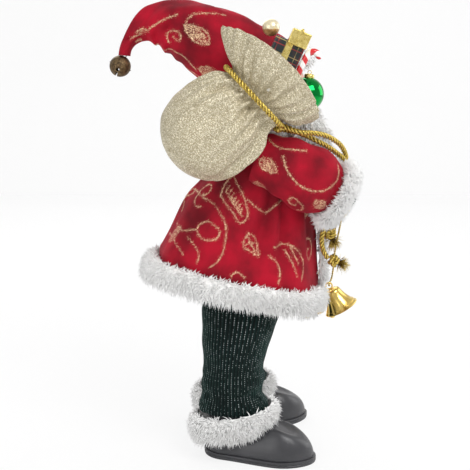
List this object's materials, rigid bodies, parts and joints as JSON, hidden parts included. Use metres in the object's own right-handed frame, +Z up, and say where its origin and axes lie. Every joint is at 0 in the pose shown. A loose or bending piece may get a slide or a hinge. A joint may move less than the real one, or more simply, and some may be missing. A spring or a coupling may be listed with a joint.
{
  "type": "standing father christmas figure",
  "caption": "Standing Father Christmas figure in a fur-trimmed velvet coat and long cap, with a tied gift sack over one shoulder and brass bells on a cord.",
  "frame": {"origin": "the point on the floor under the middle of the figure's bounding box, between the boots", "axes": "+Z up; the figure faces -Y and its right-hand side, with the sack, is -X"},
  "size_m": [0.2004, 0.2525, 0.4525],
  "materials": {
    "wadding": "matte polyester wadding",
    "red_velvet": "crushed velvet printed with gold glitter scrolls",
    "white_fur": "long white artificial fur",
    "trouser_velvet": "ribbed velvet with metallic thread",
    "boot_plastic": "satin moulded plastic",
    "mitten_felt": "matte felt",
    "face_resin": "painted resin",
    "white_hair": "curled artificial hair",
    "antique_brass": "dark antique",
    "sack_cloth": "metallic woven cloth",
    "green_paper": "checked wrapping film",
    "gold_foil": "crinkled foil",
    "gold_pearl": "pearl lacquer",
    "green_glass": "mirror lacquer",
    "candy_plastic": "glossy, red and white stripes",
    "bright_brass": "polished",
    "gold_cord": "twisted metallic thread"
  },
  "bodies": {
    "figure": {"body": "wadding", "coat": "red_velvet", "hem_fur": "white_fur", "front_fur": "white_fur", "collar": "white_fur", "right_trouser_leg": "trouser_velvet", "left_trouser_leg": "trouser_velvet", "right_boot": "boot_plastic", "left_boot": "boot_plastic", "right_boot_cuff": "white_fur", "left_boot_cuff": "white_fur", "right_sleeve": "red_velvet", "left_sleeve": "red_velvet", "right_sleeve_cuff": "white_fur", "left_sleeve_cuff": "white_fur", "right_hand": "mitten_felt", "left_hand": "mitten_felt", "head": "face_resin", "beard": "white_hair", "moustache": "white_hair", "right_eyebrow": "white_hair", "left_eyebrow": "white_hair", "hair": "white_hair", "cap": "red_velvet", "cap_brim": "white_fur", "cap_bell": "antique_brass", "cap_bell_pellet": "antique_brass", "sack": "sack_cloth", "sack_filling": "wadding", "green_gift": "green_paper", "green_gift_ribbon": "gold_foil", "gold_gift": "gold_foil", "gold_ball": "gold_pearl", "green_bauble": "green_glass", "bauble_cap": "gold_foil", "candy_cane": "candy_plastic", "sack_cord": "gold_cord", "first_cord_end": "gold_cord", "second_cord_end": "gold_cord", "bell_cord": "gold_cord"},
    "front_bell": {"front_bell": "bright_brass"},
    "front_clapper": {"front_clapper": "bright_brass"},
    "side_bell": {"side_bell": "bright_brass"},
    "side_clapper": {"side_clapper": "bright_brass"}
  },
  "joints": [
    {"name": "front_bell_swing", "type": "hinge", "parent": "figure", "child": "front_bell", "pos_m": [0.0286, -0.097, 0.1612], "axis": [-1, 0, 0], "range_deg": [0, 45]},
    {"name": "front_clapper_swing", "type": "hinge", "parent": "front_bell", "child": "front_clapper", "pos_m": [0.0286, -0.10125, 0.15264], "axis": [-1, 0, 0], "range_deg": [-2.5, 60]},
    {"name": "side_bell_swing", "type": "hinge", "parent": "figure", "child": "side_bell", "pos_m": [0.0636, -0.0775, 0.1517], "axis": [-1, 0, 0], "range_deg": [-10, 40]},
    {"name": "side_clapper_swing", "type": "hinge", "parent": "side_bell", "child": "side_clapper", "pos_m": [0.0636, -0.0775, 0.142], "axis": [-1, 0, 0], "range_deg": [-30, 30]}
  ]
}
